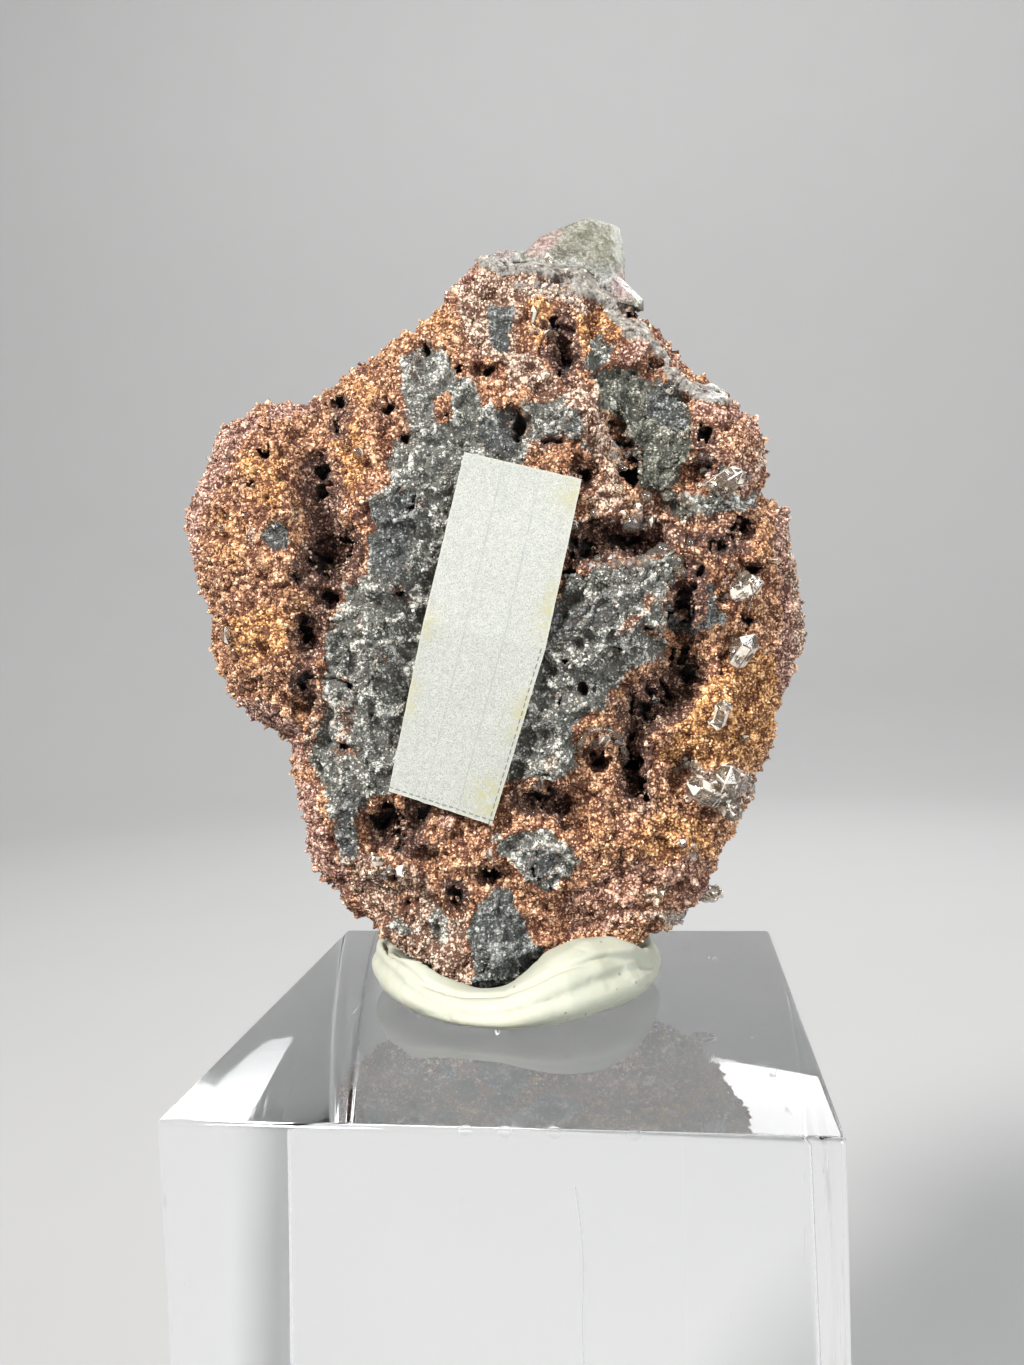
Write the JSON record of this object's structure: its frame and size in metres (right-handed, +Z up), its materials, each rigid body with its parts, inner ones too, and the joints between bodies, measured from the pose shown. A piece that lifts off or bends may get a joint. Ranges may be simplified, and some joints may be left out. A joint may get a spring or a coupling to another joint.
{
  "type": "cerussite specimen on a clear display block",
  "caption": "Crusted mineral specimen with clear crystals and a paper label, stood in a collar of mineral tack on a clear acrylic block.",
  "frame": {"origin": "centre of the clear block's base", "axes": "+Z up along the block's height, -Y towards the viewer, the side of the stone that carries the label"},
  "size_m": [0.0368, 0.0311, 0.1061],
  "materials": {
    "stone": "drusy rust-brown and grey crust",
    "crystal": "clear to milky crystal, greasy gloss",
    "paper": "matt off-white paper with grey fibres",
    "tack": "soft matt cream-white tack",
    "acrylic": "clear polished acrylic with fine scratches"
  },
  "bodies": {
    "root": {"stone": "stone", "apex_crystals": "crystal", "lower_right_crystals": "crystal", "back_crystals_upper": "crystal", "back_crystals_lower": "crystal", "upper_right_crystal": "crystal", "right_edge_crystal": "crystal", "slope_crystal": "crystal", "small_slope_crystal": "crystal", "foot_edge_crystal": "crystal", "label": "paper", "tack_collar": "tack", "clear_block": "acrylic"}
  },
  "joints": []
}
